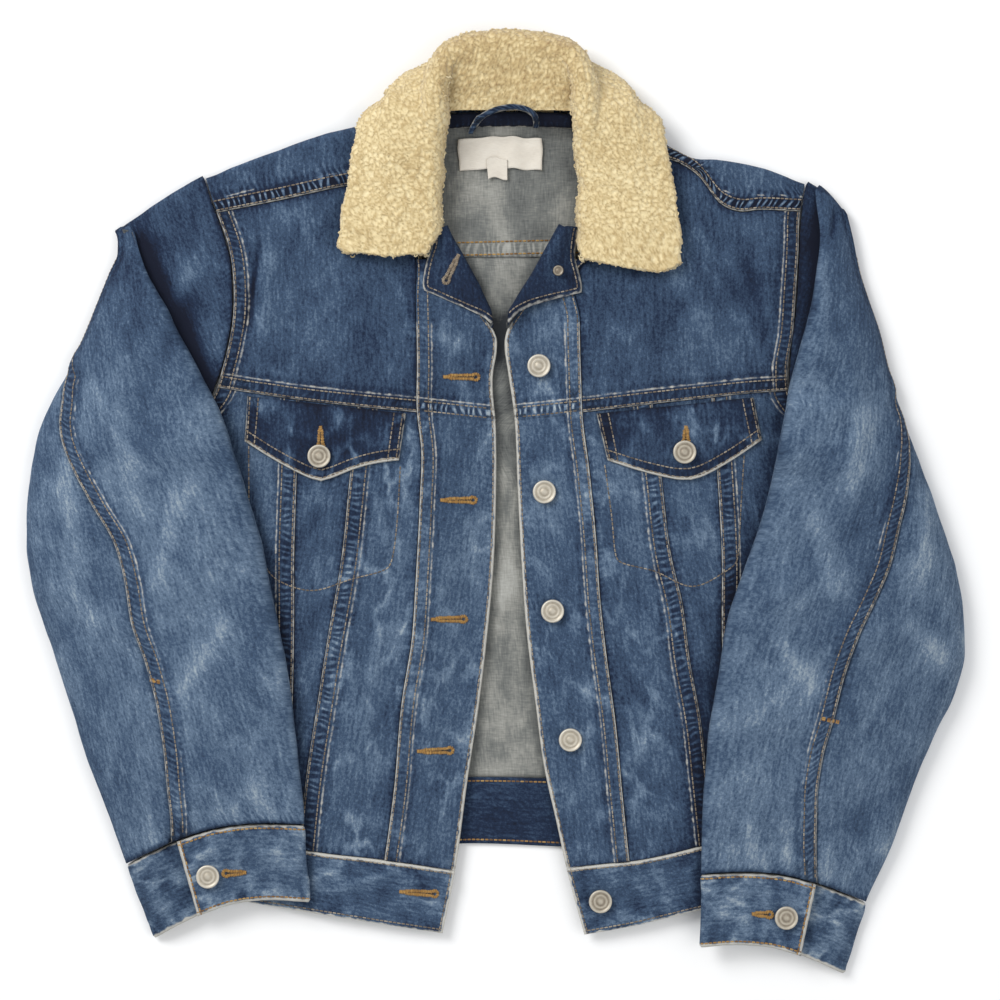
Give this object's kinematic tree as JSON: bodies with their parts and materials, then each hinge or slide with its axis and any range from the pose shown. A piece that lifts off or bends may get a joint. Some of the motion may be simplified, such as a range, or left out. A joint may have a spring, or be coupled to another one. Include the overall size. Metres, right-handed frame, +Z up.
{
  "type": "denim jacket with sherpa collar",
  "caption": "Waist-length denim jacket laid flat, fronts a little open, with a sherpa collar, pointed pocket flaps, vee seams and full sleeves with buttoned cuffs.",
  "frame": {"origin": "middle of the jacket's outline on the surface it lies on", "axes": "+Z up out of the front, +Y towards the collar, +X towards the wearer's left"},
  "size_m": [0.6854, 0.6904, 0.0401],
  "materials": {
    "denim": "washed blue denim",
    "denim_dark": "unfaded blue denim",
    "denim_reverse": "grey reverse of the denim",
    "sherpa": "cream curled pile",
    "label": "bare woven tape",
    "nickel": "antique nickel"
  },
  "bodies": {
    "root": {"hem_band_back": "denim", "back_yoke": "denim", "back_panel": "denim_reverse", "front_yoke_right": "denim", "front_side_panel_right": "denim", "front_middle_panel_right": "denim", "front_centre_panel_right": "denim", "front_placket_right": "denim", "hem_band_front_right": "denim", "sleeve_upper_right": "denim", "sleeve_under_right": "denim", "cuff_right": "denim", "pocket_flap_right": "denim", "lapel_facing_right": "denim_dark", "front_yoke_left": "denim", "front_side_panel_left": "denim", "front_middle_panel_left": "denim", "front_centre_panel_left": "denim", "front_placket_left": "denim", "hem_band_front_left": "denim", "sleeve_upper_left": "denim", "sleeve_under_left": "denim", "cuff_left": "denim", "pocket_flap_left": "denim", "lapel_facing_left": "denim_dark", "under_collar": "denim_dark", "neck_tape": "denim_dark", "hanger_loop": "denim_dark", "collar_fleece": "sherpa", "neck_label": "label", "size_tab": "label", "front_button_1": "nickel", "front_button_2": "nickel", "front_button_3": "nickel", "front_button_4": "nickel", "hem_button": "nickel", "flap_button_right": "nickel", "flap_button_left": "nickel", "cuff_button_right": "nickel", "cuff_button_left": "nickel", "neck_button": "nickel", "neck_button_stud": "nickel"}
  },
  "joints": []
}
